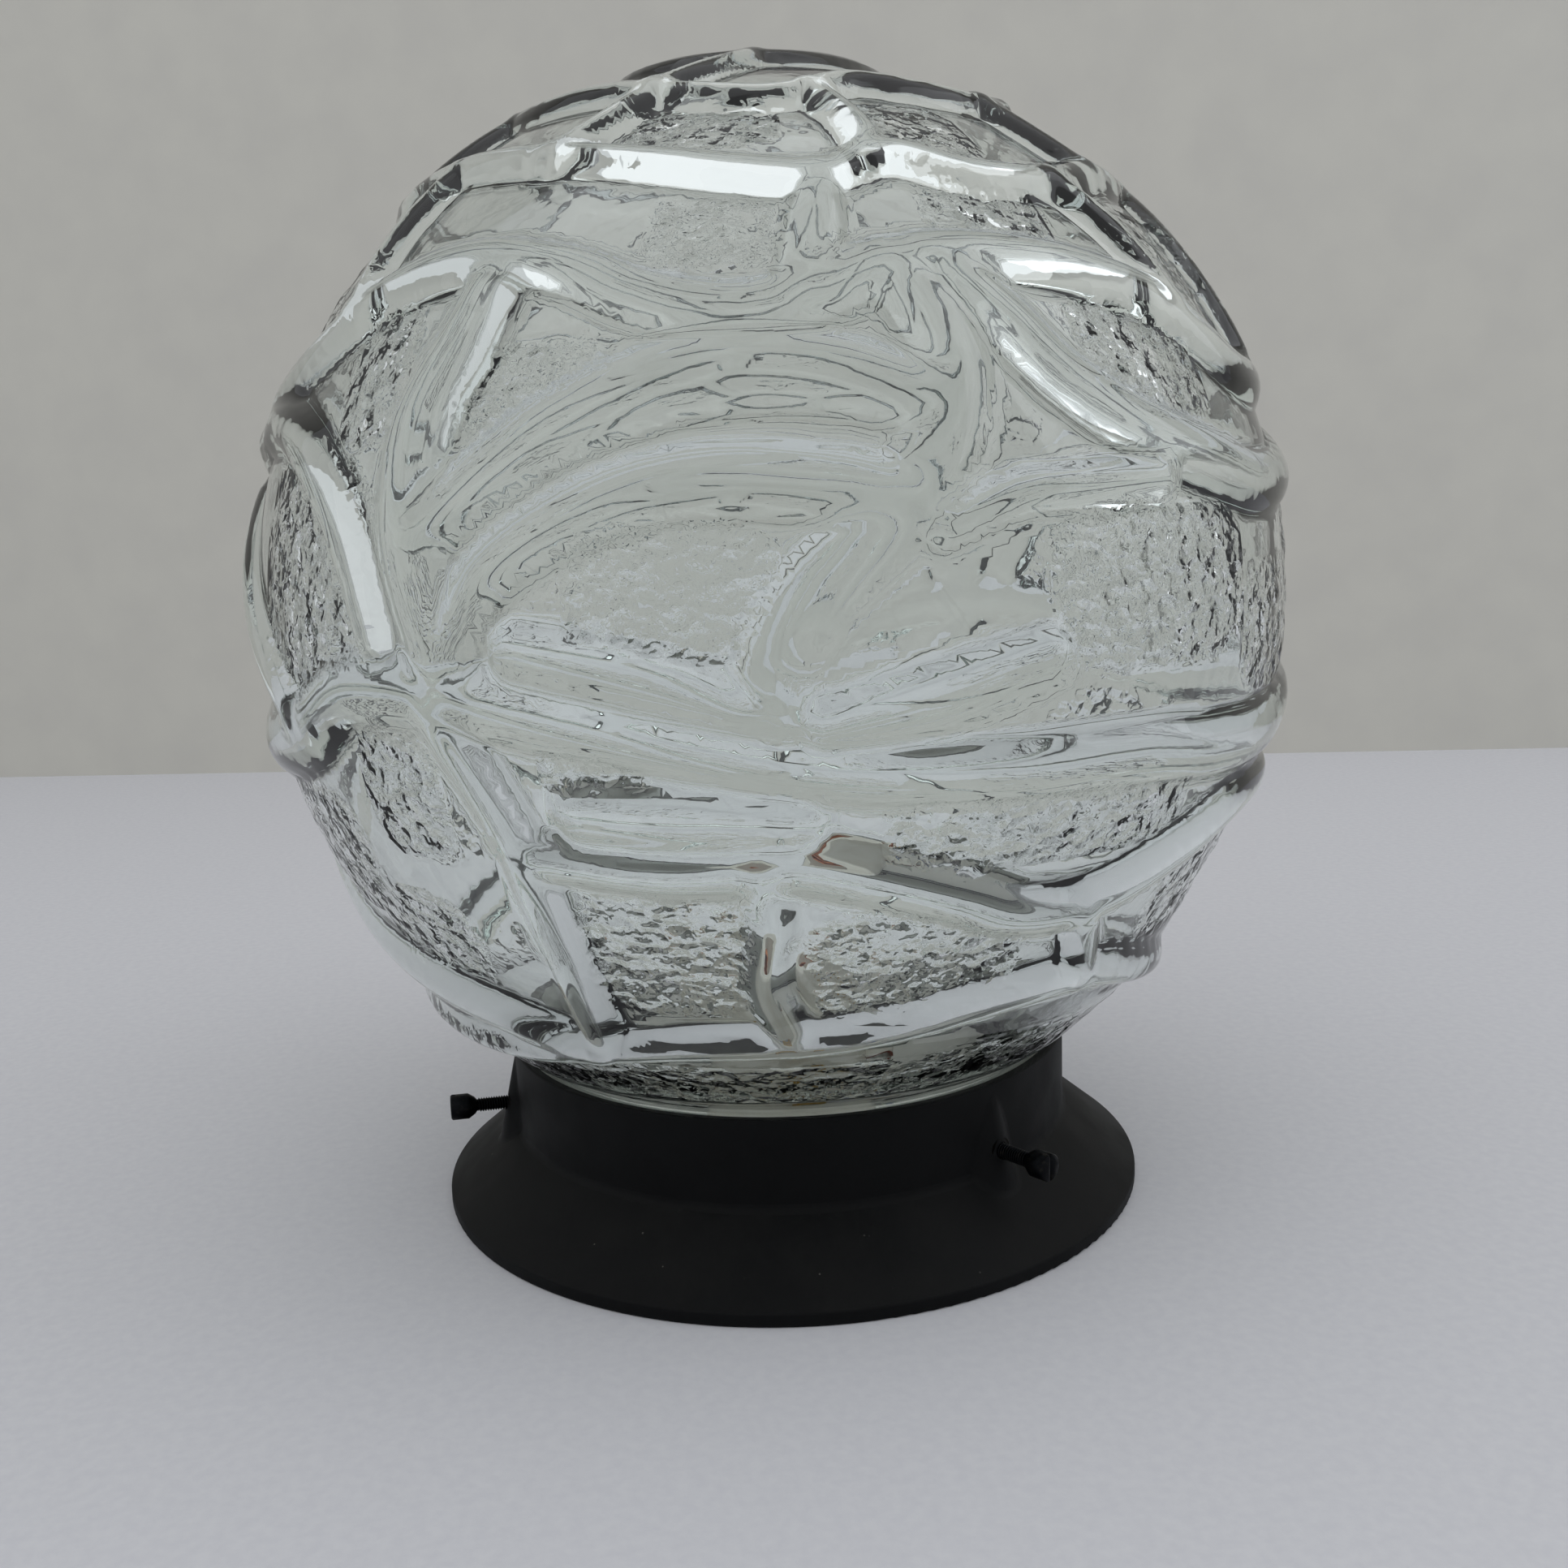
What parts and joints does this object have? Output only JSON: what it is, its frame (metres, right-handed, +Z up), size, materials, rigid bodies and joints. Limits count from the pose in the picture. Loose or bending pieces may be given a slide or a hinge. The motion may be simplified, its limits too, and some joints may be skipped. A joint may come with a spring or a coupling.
{
  "type": "globe ceiling lamp",
  "caption": "Clear glass globe with raised wavy ribs, held by radial thumbscrews in a flared black canopy, with a porcelain screw lampholder inside.",
  "frame": {"origin": "centre of the canopy's underside, on the plane it rests on", "axes": "+Z up through the globe, along the lamp's axis; one thumbscrew points along -X; the pictured side faces about -Y"},
  "size_m": [0.272, 0.272, 0.298],
  "materials": {
    "moulded_black": "matte moulded thermoset with a faint dusty bloom",
    "clear_glass": "clear blown glass, ribbed and pebbled outside",
    "blackened_screw": "blackened steel, satin",
    "soft_tip": "natural polythene",
    "brass": "drawn brass, lightly tarnished",
    "porcelain": "glazed white porcelain",
    "bronze_spring": "rolled phosphor bronze",
    "rubber": "grey-black rubber",
    "plated_steel": "zinc-plated steel",
    "fibre": "vulcanised fibre",
    "lead_jacket_live": "brown PVC insulation",
    "lead_jacket_neutral": "blue PVC insulation"
  },
  "bodies": {
    "canopy": {"canopy": "moulded_black", "screw_inserts": "brass", "lampholder_body": "porcelain", "socket_shell": "brass", "centre_contact": "bronze_spring", "contact_rivets": "brass", "contact_links": "brass", "pillar_terminals": "brass", "pillar_screws": "plated_steel", "holder_washers": "fibre", "holder_screws": "plated_steel", "holder_nuts": "plated_steel", "connector_block": "porcelain", "block_tubes": "brass", "block_clamps": "plated_steel", "block_screw": "plated_steel", "block_nut": "plated_steel", "lead_grommets": "rubber", "lead_live": "lead_jacket_live", "lead_neutral": "lead_jacket_neutral"},
    "ring": {"neck_ring": "rubber"},
    "globe": {"glass_globe": "clear_glass"},
    "tip_left": {"screw_tip_left": "soft_tip"},
    "screw_left": {"thumbscrew_left": "blackened_screw"},
    "tip_front": {"screw_tip_front": "soft_tip"},
    "screw_front": {"thumbscrew_front": "blackened_screw"},
    "tip_rear": {"screw_tip_rear": "soft_tip"},
    "screw_rear": {"thumbscrew_rear": "blackened_screw"}
  },
  "joints": [
    {"name": "globe_turn", "type": "hinge", "parent": "canopy", "child": "ring", "pos_m": [0, 0, 0.017], "axis": [0, 0, 1], "continuous": true},
    {"name": "globe_lift", "type": "slide", "parent": "ring", "child": "globe", "axis": [0, 0, 1], "range_m": [0, 0.06]},
    {"name": "screw_left_advance", "type": "slide", "parent": "canopy", "child": "tip_left", "axis": [1, 0, 0], "range_m": [-0.00175, 0.00402]},
    {"name": "screw_left_turn", "type": "hinge", "parent": "tip_left", "child": "screw_left", "pos_m": [0, 0, 0.026], "axis": [1, 0, 0], "range_deg": [-900.1, 2070.1]},
    {"name": "screw_front_advance", "type": "slide", "parent": "canopy", "child": "tip_front", "axis": [-0.5, 0.866, 0], "range_m": [-0.00175, 0.00402]},
    {"name": "screw_front_turn", "type": "hinge", "parent": "tip_front", "child": "screw_front", "pos_m": [0, 0, 0.026], "axis": [-0.5, 0.866, 0], "range_deg": [-900.1, 2070.1]},
    {"name": "screw_rear_advance", "type": "slide", "parent": "canopy", "child": "tip_rear", "axis": [-0.5, -0.866, 0], "range_m": [-0.00175, 0.00402]},
    {"name": "screw_rear_turn", "type": "hinge", "parent": "tip_rear", "child": "screw_rear", "pos_m": [0, 0, 0.026], "axis": [-0.5, -0.866, 0], "range_deg": [-900.1, 2070.1]}
  ],
  "couplings": [
    {"joint": "screw_left_turn", "follows": "screw_left_advance", "rad_per_m": 8976},
    {"joint": "screw_front_turn", "follows": "screw_front_advance", "rad_per_m": 8976},
    {"joint": "screw_rear_turn", "follows": "screw_rear_advance", "rad_per_m": 8976}
  ]
}
